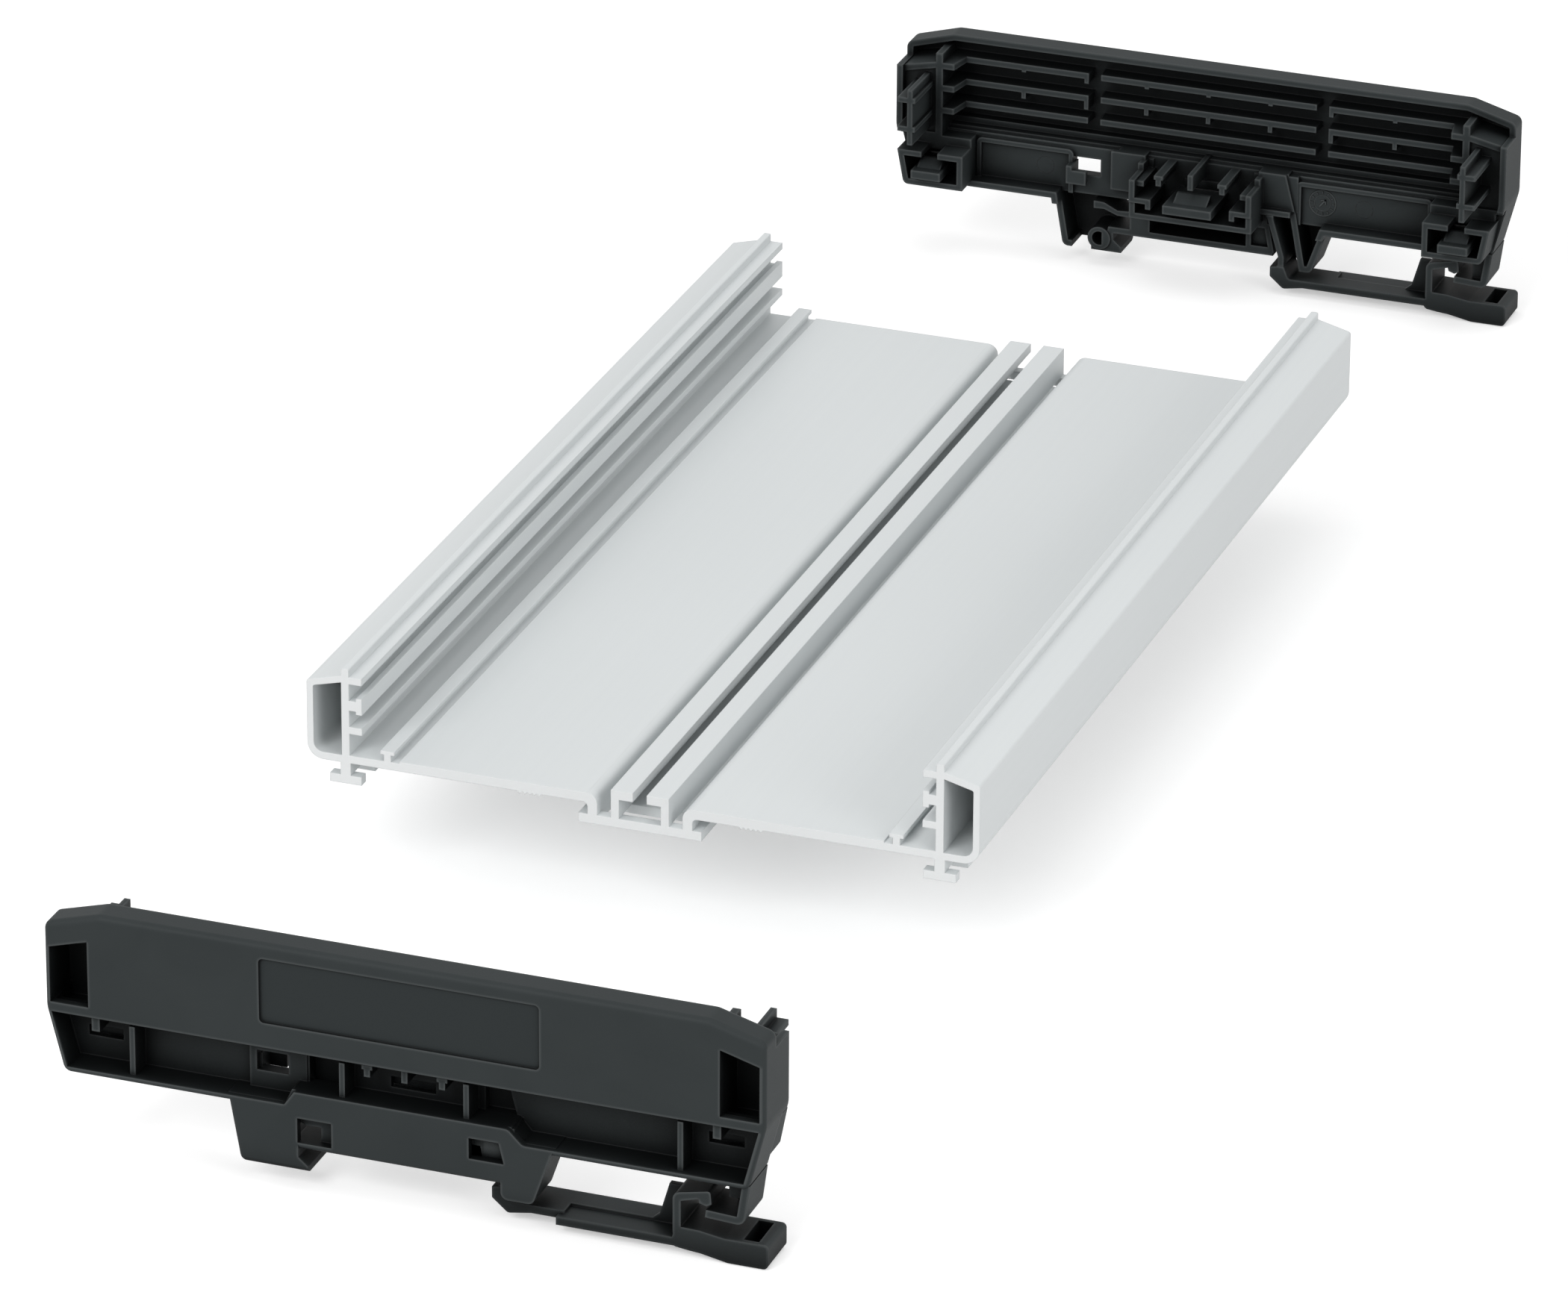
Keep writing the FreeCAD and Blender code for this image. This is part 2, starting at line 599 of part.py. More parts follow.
def foot_details():
    """Walls of the foot behind the skin: seat post, tube boss and loops."""
    shapes = []
    # Wavy wall that drops to a post behind the left window
    wavy = [(hook_x - 4.2, -5.5, 0), (hook_x - 2.0, -5.6, 0), (hook_x + 0.9, -7.0, 0),
            (hook_x + 7.7, -6.6, 0), (hook_x + 7.7, seat_z, 0), (hook_x + 4.6, seat_z, 0),
            (hook_x + 3.5, -11.0, 0), (hook_x + 3.5, -8.1, 0), (hook_x + 0.9, -8.1, 0),
            (hook_x - 2.0, -7.0, 0), (hook_x - 4.2, -7.1, 0)]
    shapes.append(slab(wavy, at(skin - 0.5), at(foot_depth)))
    # Wall under the receptacle, from the slanted wall to the latch
    shapes.append(block(hook_x + 6.0, arm_top_x - 0.2, at(skin - 0.5), at(foot_depth),
                        base_z - 0.6, base_z + 0.6))
    # Inner leg of the tooth, which with its right wall makes a V
    shapes.append(slab([(tooth_leg_top, arm_root_z + 1.0, 0),
                        (tooth_leg_top + wall, arm_root_z + 1.0, 0),
                        (tooth_leg_bottom + wall, tooth_bottom, 0), (tooth_leg_bottom, tooth_bottom, 0)],
                       at(skin - 0.5), at(foot_depth)))
    # Tube boss that stiffens the fixed hook
    tube_x, tube_z, tube_radius = hook_x - 2.9, seat_z - 1.4, 2.4
    tube = Part.makeCylinder(tube_radius, foot_depth - 0.5, Vector(tube_x, at(0.8), tube_z), Vector(0, 1, 0))
    bore = Part.makeCylinder(tube_radius - 0.95, foot_depth,
                             Vector(tube_x, at(skin + 0.5), tube_z), Vector(0, 1, 0))
    bore = bore.cut(block(tube_x + 0.6, tube_x + 3, at(0), at(12), tube_z - 3, tube_z + 3))
    shapes.append(tube.cut(bore))
    # Trapezoid loop behind the right-hand window
    loop = [(arm_top_x - 4.65, -5.2, 0), (arm_top_x + 0.15, -5.2, 0),
            (arm_top_x + 1.35, -11.4, 0), (arm_top_x - 4.65, -11.4, 0)]
    ring = slab(loop, at(skin - 0.5), at(foot_depth))
    shapes.append(ring.cut(slab(inset(loop, 1.1), at(skin), at(foot_depth + 1))))
    # Ledge that the latch arm hangs from
    shapes.append(block(arm_top_x - 2.2, arm_top_x + 4.95, at(skin - 0.5), at(latch_back),
                        arm_root_z, arm_root_z + 1.2))
    shapes.append(block(arm_top_x - 2.2, arm_top_x - 0.2, at(skin - 0.5), at(foot_depth),
                        base_z - 0.6, arm_root_z + 0.5))
    # Hook of the housing that holds the latch up, at the right
    hook = [(base_half + 0.2, base_z + 0.6, 0), (base_half - 1.2, base_z + 0.6, 0),
            (base_half - 2.1, -10.6, 0), (base_half - 7.5, -10.3, 0), (base_half - 7.7, -11.7, 0),
            (base_half - 0.8, -12.1, 1.6)]
    shapes.append(slab(hook, at(latch_front + 0.1), at(latch_back - 0.4)))
    shapes.append(block(base_half - 4.1, base_half - 1.6, at(7.0), at(8.0), -10.8, base_z + 0.6))
    return shapes


def front_cuts():
    """Recesses and pockets that are sunk from the outer face."""
    label = slab(rectangle(-25.2, 24.5, 10.5, 22.3, 0.8), at(-1), at(0.5))
    corner_out = side_half - 0.95
    corner_in = side_half - 7.85
    corner = [(-corner_out, 17.9, 0), (-corner_in, 19.9, 0), (-corner_in, 7.7, 0), (-corner_out, 7.7, 0)]
    corner_pocket = slab(corner, at(-1), at(8.4))
    low = base_z + 1.2
    high = ledge_top + 0.1
    row = [(-side_half + 1.1, high, 0), (side_half - 1.1, high, 0), (side_half - 3.7, low, 0),
           (shelf_step_x, low, 1.2), (shelf_step_x - 2.6, raised, 1.5), (-plate_right, raised, 0),
           (-plate_right - 1.8, low, 0), (-side_half + 3.7, low, 0)]
    return both(corner_pocket) + [label, slab(row, at(-1), at(pocket_depth))]


def front_infill():
    """Shelf over the rail, and the stepped plate with the square window."""
    plate_back = pocket_depth + 0.5
    step = slab([(-plate_left, ledge_under + 0.5, 0), (-plate_right + 0.6, ledge_under + 0.5, 0),
                 (-plate_right + 0.6, raised - 0.5, 0), (-plate_right - 1.8, base_z + 0.3, 0),
                 (-plate_left, base_z + 0.3, 0)], at(plate_face), at(plate_back))
    hollow = slab(rectangle(-plate_left + 1.2, -plate_right - 1.9, base_z + 1.2, ledge_under - 0.6),
                  at(plate_face + 1.2), at(plate_back + 1))
    shelf = slab([(-plate_right - 0.7, raised, 0), (shelf_step_x - 2.4, raised, 0),
                  (shelf_step_x + 0.2, base_z + 0.6, 0), (shelf_step_x - 1.2, base_z + 0.6, 0),
                  (shelf_step_x - 3.2, raised - 1.2, 0),
                  (-plate_right + 0.4, raised - 1.2, 0), (-plate_right - 1.0, base_z + 0.6, 0),
                  (-plate_right - 2.2, base_z + 0.6, 0)], at(skin - 0.5), at(pocket_depth + 0.3))
    return [step.cut(hollow), shelf.cut(latch_room())]


def side_windows():
    """Openings right through the skin, and the square one in the stepped plate."""
    square = slab(rectangle(-27.6, -21.9, -0.7, 2.95), at(-1), at(joint_depth))
    left = slab(rectangle(hook_x - 0.1, hook_x + 6.0, -10.7, -6.15), at(-1), at(skin + 0.2))
    right = slab([(arm_top_x - 2.15, -4.25, 0), (arm_top_x + 3.15, -4.25, 0),
                  (arm_top_x + 4.05, -8.05, 0), (arm_top_x - 2.15, -8.05, 0)],
                 at(-1), at(skin + 0.2))
    return [square, left, right]


def window_clip():
    """Small L-shaped clip beside the square window."""
    end = at(joint_depth - 0.6)
    post = block(-28.2, -27.0, at(pocket_depth), end, -1.8, 2.0)
    foot = block(-28.2, -24.0, at(joint_depth - 1.8), end, -1.8, 1.1)
    return [post, foot]


def front_side_element():
    shell = side_shell()
    solids = profile_lines() + board_rows() + lower_panels() + foot_details()
    solids += both(plug()[0].fuse(plug()[1:]))
    clip = clip_box()
    solids += both(clip[0].fuse(clip[1:]))
    solids += middle_receptacle()
    pockets = front_cuts()
    shell = shell.cut(pockets[0].fuse(pockets[1:]))
    body = shell.fuse(solids + front_infill())
    windows = side_windows()
    body = body.cut(windows[0].fuse(windows[1:]))
    return body.fuse(window_clip()).removeSplitter()


def latch_arm():
    """Thin flexure arm between the housing's ledge and the latch's nose."""
    arm = [(arm_top_x, arm_root_z, 0), (arm_top_x + arm_thick, arm_root_z, 0),
           (arm_low_x + arm_thick, arm_low_z, 1.5), (arm_low_x + arm_thick, arm_tip_z, 0),
           (arm_low_x, arm_tip_z, 0), (arm_low_x, arm_low_z, 1.0)]
    return slab(arm, at(latch_setback), at(latch_back))


def foot_latch():
    """Nose under the rail, long bar, upright with a hook, and a tab to pull."""
    step_x = tooth_right_top + 0.6
    nose = [(arm_low_x, arm_tip_z, 0), (arm_low_x + arm_thick, arm_tip_z, 0),
            (arm_low_x + arm_thick + 1.0, bar_top, 0.6), (step_x + 1.0, bar_top, 0),
            (step_x + 1.0, bar_bottom, 0), (latch_tip + 6.9, bar_bottom, 2.0),
            (latch_tip + 2.8, bar_bottom - 0.7, 1.0),
            (latch_tip, bar_top + 0.2, 0.4), (latch_tip, arm_tip_z - 0.4, 0),
            (arm_low_x - 0.3, arm_tip_z - 0.2, 0)]
    back_part = slab(nose, at(latch_setback), at(latch_back))
    bar_middle = (latch_front + latch_back) / 2
    bar = rectangle(step_x, upright_x + 0.5, bar_bottom, bar_top)
    inner_bar = slab(bar, at(bar_middle), at(latch_back))
    lower = [(x, z - bar_step, radius) for x, z, radius in bar]
    outer_bar = slab(lower, at(latch_front), at(bar_middle + 0.4))
    tab = [(upright_x, bar_top, 0), (upright_x + 0.4, -14.2, 0), (upright_x + 4.6, -14.3, 3.0),
           (upright_x + 9.0, tab_top, 3.0), (tab_right, tab_top, 0.8),
           (tab_right, tab_bottom, 0.9), (upright_x + 9.6, tab_bottom, 3.0),
           (upright_x + 4.9, tab_bottom + 0.9, 3.0), (upright_x + 2.6, tab_bottom + 1.1, 1.2),
           (upright_x - 0.5, bar_bottom - bar_step, 1.0)]
    tab_solid = slab(tab, at(latch_front), at(latch_back))
    slot = block(tab_right - 4.6, tab_right - 1.9, at(latch_front + 0.9), at(latch_back - 0.8),
                 tab_bottom + 0.9, tab_top + 1)
    hook = [(upright_x, -8.1, 1.4), (upright_x + 6.6, -6.7, 0.5), (upright_x + 6.8, -9.1, 0),
            (upright_x + 5.9, -9.6, 0), (upright_x + 4.7, -9.2, 0), (upright_x + 4.5, -8.5, 0),
            (upright_x + upright_thick, -9.4, 0),
            (upright_x + upright_thick, tab_top - 0.5, 0), (upright_x, tab_top - 0.5, 0)]
    upright = slab(hook, at(latch_front), at(latch_back))
    # Thin gusset between the bar and the upright
    gusset = slab([(upright_x - 2.2, -8.9, 0), (upright_x + 0.2, -8.9, 0),
                   (upright_x + 0.2, bar_bottom + 0.4, 0),
                   (upright_x - 5.6, bar_bottom + 0.4, 0), (upright_x - 5.2, bar_top, 0),
                   (upright_x - 3.9, -14.8, 0)], at(bar_middle), at(bar_middle + 1.0))
    return joined([back_part, inner_bar, outer_bar, tab_solid.cut(slot), upright, gusset])


# Placing

def to_rear(shape):
    """Mirror image of a front piece, at the profile's other end."""
    return shape.mirror(Vector(0, profile_length / 2, 0), Vector(0, 1, 0))


def export(name, shape):
    shape = shape.copy()
    shape.translate(Vector(-rail_middle_x, -profile_length / 2, -seat_z))
    solids = shape.Solids
    if len(solids) == 1:
        shape = solids[0]
    print(name, "solids", len(solids), "valid", shape.isValid(), "volume", round(shape.Volume, 1))
    shape.exportStep("parts/" + name + ".step")


os.makedirs("parts", exist_ok=True)
export("base_profile", base_profile())
pieces = {"side_element": front_side_element(), "foot_latch": foot_latch(), "latch_arm": latch_arm()}
for piece_name, piece in pieces.items():
    front = piece.copy()
    front.translate(Vector(0, -pull_off, 0))
    export("front_" + piece_name, front)
    rear = to_rear(piece)
    rear.translate(Vector(0, pull_off, 0))
    export("rear_" + piece_name, rear)
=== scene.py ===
import math

import bpy
from mathutils import Matrix, Vector


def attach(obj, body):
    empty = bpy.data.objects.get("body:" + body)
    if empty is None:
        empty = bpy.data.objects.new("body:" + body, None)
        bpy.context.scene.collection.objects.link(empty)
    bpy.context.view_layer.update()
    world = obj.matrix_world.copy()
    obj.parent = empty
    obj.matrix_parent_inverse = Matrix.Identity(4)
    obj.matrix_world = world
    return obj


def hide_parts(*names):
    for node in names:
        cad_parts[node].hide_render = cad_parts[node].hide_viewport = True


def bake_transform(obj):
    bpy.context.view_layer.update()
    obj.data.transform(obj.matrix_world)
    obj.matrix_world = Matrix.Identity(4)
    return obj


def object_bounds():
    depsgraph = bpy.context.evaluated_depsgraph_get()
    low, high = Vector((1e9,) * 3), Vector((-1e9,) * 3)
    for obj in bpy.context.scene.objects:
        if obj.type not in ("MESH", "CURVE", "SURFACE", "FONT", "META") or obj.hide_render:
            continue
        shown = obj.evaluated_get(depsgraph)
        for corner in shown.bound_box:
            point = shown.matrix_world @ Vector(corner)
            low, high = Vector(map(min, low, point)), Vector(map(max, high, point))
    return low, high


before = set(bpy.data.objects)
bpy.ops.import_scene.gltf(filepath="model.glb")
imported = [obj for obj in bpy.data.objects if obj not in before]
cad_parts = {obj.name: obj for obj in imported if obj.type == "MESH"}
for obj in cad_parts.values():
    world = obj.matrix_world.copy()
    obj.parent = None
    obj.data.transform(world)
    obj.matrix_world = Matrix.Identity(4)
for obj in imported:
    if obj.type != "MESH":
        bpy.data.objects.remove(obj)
cad_low, cad_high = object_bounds()


# Base profile
# Light grey plastic, extruded in one length and sawn off at both ends. Its faces
# are satin, with a fine grain and faint lines along the length; the cuts are paler.

class Value:
    """The output of a node. Arithmetic on it adds Math nodes."""

    def __init__(self, nodes, socket):
        self.nodes = nodes
        self.socket = socket

    def math(self, operation, *values):
        return self.nodes.add("ShaderNodeMath", {"operation": operation}, dict(enumerate(values)))

    def __add__(self, other):
        return self.math("ADD", self, other)

    def __radd__(self, other):
        return self.math("ADD", other, self)

    def __rsub__(self, other):
        return self.math("SUBTRACT", other, self)

    def __mul__(self, other):
        return self.math("MULTIPLY", self, other)


class Nodes:
    """The nodes of a material or of the surroundings."""

    def __init__(self, owner):
        owner.use_nodes = True
        self.owner = owner
        self.tree = owner.node_tree
        self.tree.nodes.clear()

    def add(self, kind, settings=None, sockets=None):
        """Adds a node, sets it up, fills its sockets and returns its output."""
        made = self.tree.nodes.new(kind)
        output = 0
        for setting, value in (settings or {}).items():
            if setting == "output":
                output = value
            elif setting == "stops":
                for element, (position, colour) in zip(made.color_ramp.elements, value):
                    element.position = position
                    element.color = colour
            else:
                setattr(made, setting, value)
        for key, value in (sockets or {}).items():
            if isinstance(value, Value):
                self.tree.links.new(value.socket, made.inputs[key])
            else:
                made.inputs[key].default_value = value
        if made.outputs:
            return Value(self, made.outputs[output])


profile_grey = (0.640, 0.668, 0.674, 1.0)
profile_pale = (0.656, 0.684, 0.690, 1.0)
cut_grey = (0.735, 0.752, 0.755, 1.0)
profile_end = 0.107

plastic = Nodes(bpy.data.materials.new("light_grey_extruded_plastic"))
place = plastic.add("ShaderNodeTexCoord", {"output": "Object"})
along = plastic.add("ShaderNodeMapping", {}, {"Vector": place, "Scale": (1.0, 0.004, 1.0)})
lines = plastic.add("ShaderNodeTexNoise", {}, {"Vector": along, "Scale": 900.0, "Detail": 3.0})
grain = plastic.add("ShaderNodeTexNoise", {}, {"Vector": place, "Scale": 3000.0, "Detail": 2.0})
cloud = plastic.add("ShaderNodeTexNoise", {}, {"Vector": place, "Scale": 14.0, "Detail": 1.0})
tone = lines * 0.4 + cloud * 0.6
profile_tones = ((0.35, profile_grey), (0.65, profile_pale))
faces = plastic.add("ShaderNodeValToRGB", {"stops": profile_tones}, {"Fac": tone})
sides = plastic.add("ShaderNodeSeparateXYZ", {"output": "Y"}, {"Vector": place})
from_middle = sides.math("ABSOLUTE", sides)
cut = plastic.add("ShaderNodeMapRange", {}, {
    "Value": from_middle, "From Min": profile_end - 0.00012, "From Max": profile_end - 0.00003})
tint = plastic.add("ShaderNodeMix", {"data_type": "RGBA", "output": 2}, {0: cut, 6: faces, 7: cut_grey})
height = lines * 0.5 + grain * (0.5 + cut * 1.5)
edge = plastic.add("ShaderNodeBevel", {"samples": 8}, {"Radius": 0.00022})
relief = plastic.add("ShaderNodeBump", {}, {
    "Strength": 0.08, "Distance": 0.0001, "Height": height, "Normal": edge})
gloss = 0.36 + grain * 0.10 + cut * 0.25
skin = plastic.add("ShaderNodeBsdfPrincipled", {}, {"Base Color": tint, "Roughness": gloss, "Normal": relief})
plastic.add("ShaderNodeOutputMaterial", {}, {"Surface": skin})

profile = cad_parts["base_profile"]
profile.data.materials.clear()
profile.data.materials.append(plastic.owner)


# Side elements
# Charcoal plastic, moulded in a spark-eroded tool: a fine even texture and small
# radii. Little light reaches into the pockets, so painted shade darkens the colour
# there, and the outer edges carry a painted highlight, a little paler.

charcoal = (0.0278, 0.0327, 0.0338, 1.0)
charcoal_pale = (0.0304, 0.0355, 0.0366, 1.0)
label_charcoal = (0.0238, 0.0283, 0.0294, 1.0)
painted_pocket_shade = (0.0040, 0.0046, 0.0048, 1.0)
painted_edge_highlight = (0.0620, 0.0685, 0.0695, 1.0)
pocket_reach = 0.0110
edge_reach = 0.00055
outer_face = 0.2175
label_depths = (0.0002, 0.0008)
label_half_width = 0.0262
label_middle_x = 0.0007
label_heights = (0.0223, 0.0345)

moulded = Nodes(bpy.data.materials.new("charcoal_moulded_plastic"))
place = moulded.add("ShaderNodeTexCoord", {"output": "Object"})
texture = moulded.add("ShaderNodeTexNoise", {}, {"Vector": place, "Scale": 5200.0, "Detail": 2.0})
flow = moulded.add("ShaderNodeTexNoise", {}, {
    "Vector": place, "Scale": 55.0, "Detail": 2.0, "Distortion": 0.8})
moulded_tones = ((0.35, charcoal), (0.65, charcoal_pale))
faces = moulded.add("ShaderNodeValToRGB", {"stops": moulded_tones}, {"Fac": flow})
across = moulded.add("ShaderNodeSeparateXYZ", {"output": "X"}, {"Vector": place})
along = moulded.add("ShaderNodeSeparateXYZ", {"output": "Y"}, {"Vector": place})
upward = moulded.add("ShaderNodeSeparateXYZ", {"output": "Z"}, {"Vector": place})


def inside(value, low, high):
    """1 where a value lies between two limits."""
    return value.math("GREATER_THAN", value, low) * value.math("LESS_THAN", value, high)


depth = outer_face - along.math("ABSOLUTE", along)
label = inside(across, label_middle_x - label_half_width, label_middle_x + label_half_width)
label = label * inside(upward, *label_heights) * inside(depth, *label_depths)
mix = {"data_type": "RGBA", "output": 2}
faces = moulded.add("ShaderNodeMix", mix, {0: label, 6: faces, 7: label_charcoal})
# Painted shade: where the AO node finds the surface closed in, as in pockets and under the housing, the
# colour turns near black.
openness = moulded.add(
    "ShaderNodeAmbientOcclusion", {"samples": 8, "output": "AO"}, {"Distance": pocket_reach})
unshaded = moulded.add("ShaderNodeMapRange", {}, {"Value": openness, "From Min": 0.46, "From Max": 0.88})
colour = moulded.add("ShaderNodeMix", mix, {0: unshaded, 6: painted_pocket_shade, 7: faces})
# Painted highlight: convex edges, found by an AO node that looks inside the solid, turn a paler grey, except
# where painted shade lies.
solidity = moulded.add(
    "ShaderNodeAmbientOcclusion", {"samples": 8, "inside": True, "output": "AO"}, {"Distance": edge_reach})
edge_highlight_mask = moulded.add("ShaderNodeMapRange", {}, {"Value": 1.0 - solidity, "From Min": 0.06, "From Max": 0.40})
colour = moulded.add("ShaderNodeMix", mix, {0: edge_highlight_mask * unshaded, 6: colour, 7: painted_edge_highlight})
edge = moulded.add("ShaderNodeBevel", {"samples": 8}, {"Radius": 0.00035})
relief = moulded.add("ShaderNodeBump", {}, {
    "Strength": 0.16, "Distance": 0.00008, "Height": texture, "Normal": edge})
gloss = 0.42 + texture * 0.10 + flow * 0.06
skin = moulded.add("ShaderNodeBsdfPrincipled", {}, {
    "Base Color": colour, "Roughness": gloss, "Normal": relief, "Specular IOR Level": 0.09})
moulded.add("ShaderNodeOutputMaterial", {}, {"Surface": skin})

ends = {"front": -1, "rear": 1}
for end in ends:
    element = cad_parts[end + "_side_element"]
    element.data.materials.clear()
    element.data.materials.append(moulded.owner)


# Foot latches
# Each has a nose that slides under the rail, a bar, and a tab that a screwdriver
# pulls. They are moulded with the side elements, in the same plastic.

for end in ends:
    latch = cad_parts[end + "_foot_latch"]
    latch.data.materials.clear()
    latch.data.materials.append(moulded.owner)


# Latch arms
# The thin strip that each foot latch hangs from, moulded in one with the side
# element and the latch. The real strip bends when the latch is pulled; this mesh
# stands in place of the hidden CAD arm and is tied to neither body.

arm_front = 0.0022
arm_back = 0.0096
arm_thick = 0.00125
arm_root = (0.01505, 0.0093)
arm_elbow = (0.0177, 0.0006)
arm_tip_z = -0.0013
root_flare = 0.0005
sunk = 0.0002
steps = 10
lower_steps = 3


def start_modelling():
    bpy.ops.object.select_all(action="DESELECT")


def pick_faces(piece, wanted):
    """Opens the mesh with only the faces selected that pass a test."""
    for face in piece.data.polygons:
        face.select = wanted(face)
    for line in piece.data.edges:
        line.select = False
    for corner in piece.data.vertices:
        corner.select = False
    bpy.ops.object.mode_set(mode="EDIT")
    bpy.ops.mesh.select_mode(type="FACE")


def round_edges(piece, width):
    bevel = piece.modifiers.new("edges", "BEVEL")
    bevel.width = width
    bevel.segments = 2
    bevel.limit_method = "ANGLE"
    bevel.angle_limit = math.radians(40)
    bpy.ops.object.modifier_apply(modifier=bevel.name)
    bpy.ops.object.shade_smooth_by_angle(angle=math.radians(35))


for end, side in ends.items():
    start_modelling()
    middle_y = side * (outer_face - (arm_front + arm_back) / 2)
    middle_x = arm_root[0] + arm_thick / 2
    bpy.ops.mesh.primitive_cube_add(size=1.0, location=(middle_x, middle_y, arm_root[1] + sunk / 2))
    arm = bpy.context.object
    arm.name = end + "_flexure_arm"
    arm.scale = (arm_thick + root_flare, arm_back - arm_front, sunk)
    bpy.ops.object.transform_apply(location=True, rotation=True, scale=True)
    pick_faces(arm, lambda face: face.normal.z < -0.9)
    lean = (arm_elbow[0] - arm_root[0]) / steps
    drop = (arm_elbow[1] - arm_root[1]) / steps
    for step in range(steps):
        bpy.ops.mesh.extrude_region_move(TRANSFORM_OT_translate={"value": (lean, 0.0, drop)})
        if step == 0:
            slimmer = arm_thick / (arm_thick + root_flare)
            centre = (middle_x + lean, middle_y, arm_root[1] + drop)
            bpy.ops.transform.resize(value=(slimmer, 1.0, 1.0), center_override=centre)
    last = (arm_tip_z - sunk - arm_elbow[1]) / lower_steps
    for step in range(lower_steps):
        bpy.ops.mesh.extrude_region_move(TRANSFORM_OT_translate={"value": (0.0, 0.0, last)})
    bpy.ops.object.mode_set(mode="OBJECT")
    round_edges(arm, 0.00015)
    arm.data.materials.append(moulded.owner)
    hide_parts(end + "_latch_arm")
    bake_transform(arm)


# Shade webs of the side elements
# Thin dark plates of the charcoal plastic, put in to stand for shade: they close the
# panel behind the snap tongues, the foot behind its right-hand window and the
# corner inside its hook, where light would otherwise come through.

# Each web: left, right, bottom, top, and its nearer and farther depth
shade_webs = (
    (-0.0030, 0.0050, 0.0119, 0.01385, 0.0066, 0.0072),
    (-0.0575, -0.0511, 0.0119, 0.01385, 0.0066, 0.0072),
    (0.0531, 0.0595, 0.0119, 0.01385, 0.0066, 0.0072),
    (0.0113, 0.0151, 0.0013, 0.0062, 0.0066, 0.0072),
    (0.0148, 0.0196, 0.0036, 0.0081, 0.0016, 0.0020),
    (0.0576, 0.0610, 0.0036, 0.0070, 0.0030, 0.0036),
)


def join_parts(parts, name):
    start_modelling()
    for part in parts:
        part.select_set(True)
    bpy.context.view_layer.objects.active = parts[0]
    bpy.ops.object.join()
    made = bpy.context.object
    made.name = name
    bpy.ops.object.transform_apply(location=True, rotation=True, scale=True)
    return made


for end, side in ends.items():
    parts = []
    for left, right_side, low, high, near, far in shade_webs:
        start_modelling()
        middle = ((left + right_side) / 2, side * (outer_face - (near + far) / 2), (low + high) / 2)
        bpy.ops.mesh.primitive_cube_add(size=1.0, location=middle)
        part = bpy.context.object
        part.scale = (right_side - left, far - near, high - low)
        bpy.ops.object.transform_apply(location=True, rotation=True, scale=True)
        parts.append(part)
    shade_web = join_parts(parts, end + "_webs")
    round_edges(shade_web, 0.0001)
    shade_web.data.materials.append(moulded.owner)
    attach(shade_web, end + "_end")


# Mould marks
# On the inner face of the right-hand panel the tool leaves a dial with twelve
# ticks and an arrow, and on both wide panels the faint rings of ejector pins.

panel_depth = 0.0067
dial_x = 0.0259
dial_z = 0.01235
dial_radius = 0.00275
dial_line = 0.00016
pin_rings = ((0.0346, 0.0122, 0.0018), (-0.0326, 0.0122, 0.0018))
quarter = math.radians(90)


def raised_ring(x, y, z, radius, line):
    start_modelling()
    bpy.ops.mesh.primitive_torus_add(
        location=(x, y, z), rotation=(quarter, 0.0, 0.0), major_segments=48, minor_segments=8,
        major_radius=radius, minor_radius=line)
    return bpy.context.object


def raised_bar(x, y, z, angle, distance, length, width):
    """A low bar that points away from a centre."""
    start_modelling()
    away = Vector((math.sin(angle), 0.0, math.cos(angle))) * distance
    bpy.ops.mesh.primitive_cube_add(size=1.0, location=Vector((x, y, z)) + away, rotation=(0.0, angle, 0.0))
    bar = bpy.context.object
    bar.scale = (width, 2 * dial_line, length)
    bpy.ops.object.transform_apply(location=True, rotation=True, scale=True)
    return bar


for end, side in ends.items():
    panel_y = side * (outer_face - panel_depth)
    parts = [raised_ring(dial_x, panel_y, dial_z, dial_radius, dial_line)]
    parts.append(raised_ring(dial_x, panel_y, dial_z, dial_radius * 0.62, dial_line * 0.6))
    for hour in range(12):
        parts.append(raised_bar(dial_x, panel_y, dial_z, math.radians(30 * hour),
                                dial_radius * 0.82, 0.0006, 0.00018))
    pointing = math.radians(40) * side
    parts.append(raised_bar(dial_x, panel_y, dial_z, pointing, 0.0, 0.0021, 0.00034))
    for turn in (-0.72, 0.72):
        tip = Vector((math.sin(pointing), 0.0, math.cos(pointing))) * 0.00095
        parts.append(raised_bar(dial_x + tip.x, panel_y, dial_z + tip.z, pointing + turn + math.pi,
                                0.00045, 0.0011, 0.00026))
    dial = join_parts(parts, end + "_mould_dial")
    dial.data.materials.append(moulded.owner)
    bpy.ops.object.shade_smooth_by_angle(angle=math.radians(35))
    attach(dial, end + "_end")
    rings = join_parts([raised_ring(x, panel_y, z, radius, 0.00005) for x, z, radius in pin_rings],
                       end + "_ejector_rings")
    rings.data.materials.append(moulded.owner)
    bpy.ops.object.shade_smooth_by_angle(angle=math.radians(35))
    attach(rings, end + "_end")


# Floor
# A pale sweep under the object. It shows white and keeps the object's shadow.

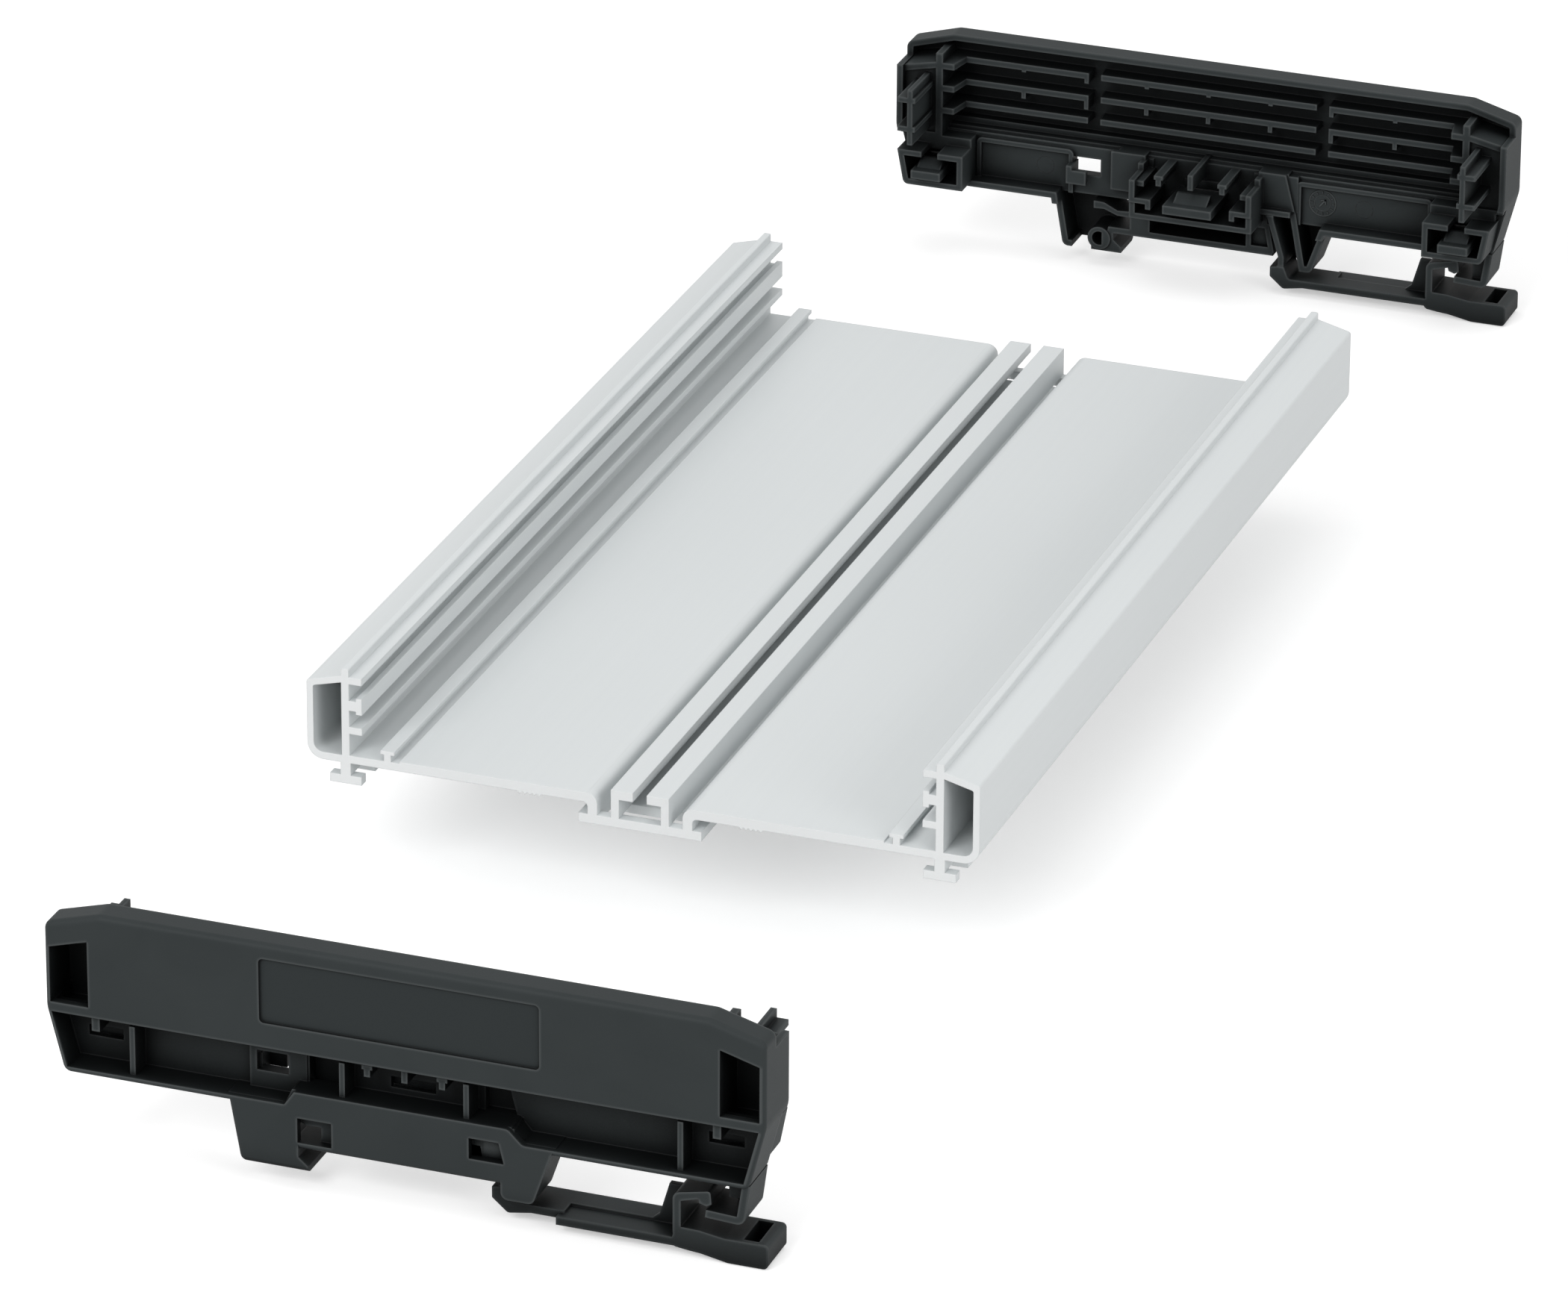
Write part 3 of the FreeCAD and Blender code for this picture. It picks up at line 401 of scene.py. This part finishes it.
start_modelling()
bpy.ops.mesh.primitive_plane_add(size=14.0, location=(0.0, 0.0, cad_low.z - 0.0002))
floor = bpy.context.object
floor.name = "floor"
bpy.ops.object.transform_apply(location=True, rotation=True, scale=True)
paper = Nodes(bpy.data.materials.new("pale_floor"))
seen = paper.add("ShaderNodeLightPath", {"output": "Is Camera Ray"})
mirrored = paper.add("ShaderNodeLightPath", {"output": "Is Glossy Ray"})
matt = paper.add("ShaderNodeBsdfDiffuse", {}, {"Color": (0.80, 0.80, 0.80, 1.0)})
glow = paper.add("ShaderNodeEmission", {}, {
    "Color": (1.0, 1.0, 1.0, 1.0), "Strength": seen * 0.42 + mirrored * 0.2})
both = paper.add("ShaderNodeAddShader", {}, {0: matt, 1: glow})
paper.add("ShaderNodeOutputMaterial", {}, {"Surface": both})
floor.data.materials.append(paper.owner)


# Studio light
# An even white room, a large soft box in front at the left, a weaker one at the
# right and a weak one overhead.

room = Nodes(bpy.data.worlds.new("studio"))
seen = room.add("ShaderNodeLightPath", {"output": "Is Camera Ray"})
mirrored = room.add("ShaderNodeLightPath", {"output": "Is Glossy Ray"})
ambient = 0.56
strength = seen.math("MAXIMUM", seen, mirrored) * (1.0 - ambient) + ambient
sky = room.add("ShaderNodeBackground", {}, {"Color": (1.0, 1.0, 1.0, 1.0), "Strength": strength})
room.add("ShaderNodeOutputWorld", {}, {"Surface": sky})
bpy.context.scene.world = room.owner


def softbox(name, place, size, power):
    """A square lamp that points at the object."""
    light = bpy.data.lights.new(name, "AREA")
    light.size = size
    light.energy = power
    lamp = bpy.data.objects.new(name, light)
    bpy.context.scene.collection.objects.link(lamp)
    lamp.location = place
    aim = Vector((0.0, 0.0, 0.02)) - Vector(place)
    lamp.rotation_euler = aim.to_track_quat("-Z", "Y").to_euler()


softbox("front_softbox", (-0.5, -1.6, 1.2), 0.9, 17.0)
softbox("right_softbox", (1.6, -0.9, 0.8), 0.9, 9.0)
softbox("top_softbox", (0.1, 0.1, 1.7), 1.2, 5.5)


# Camera
# A long lens at the front right, above the object, on a camera turned a little.

view_azimuth = math.radians(20.01)
view_elevation = math.radians(24.71)
view_roll = math.radians(0.29)
view_centre = Vector((0.001, -0.007, 0.020))
view_distance = 1.871
view_right = 0.00933
view_up = 0.01458
focal_length = 235.85

back = Vector((
    math.sin(view_azimuth) * math.cos(view_elevation),
    -math.cos(view_azimuth) * math.cos(view_elevation),
    math.sin(view_elevation),
))
level_right = Vector((math.cos(view_azimuth), math.sin(view_azimuth), 0.0))
level_up = back.cross(level_right)
right = level_right * math.cos(view_roll) + level_up * math.sin(view_roll)
up = level_up * math.cos(view_roll) - level_right * math.sin(view_roll)

lens = bpy.data.cameras.new("camera")
lens.sensor_width = 36.0
lens.lens = focal_length
lens.clip_start = 0.05
lens.clip_end = 50.0
camera = bpy.data.objects.new("camera", lens)
bpy.context.scene.collection.objects.link(camera)
camera.location = view_centre + back * view_distance - right * view_right - up * view_up
camera.rotation_mode = "QUATERNION"
camera.rotation_quaternion = Matrix((right, up, back)).transposed().to_quaternion()
bpy.context.scene.camera = camera
bpy.context.scene.view_settings.view_transform = "Standard"
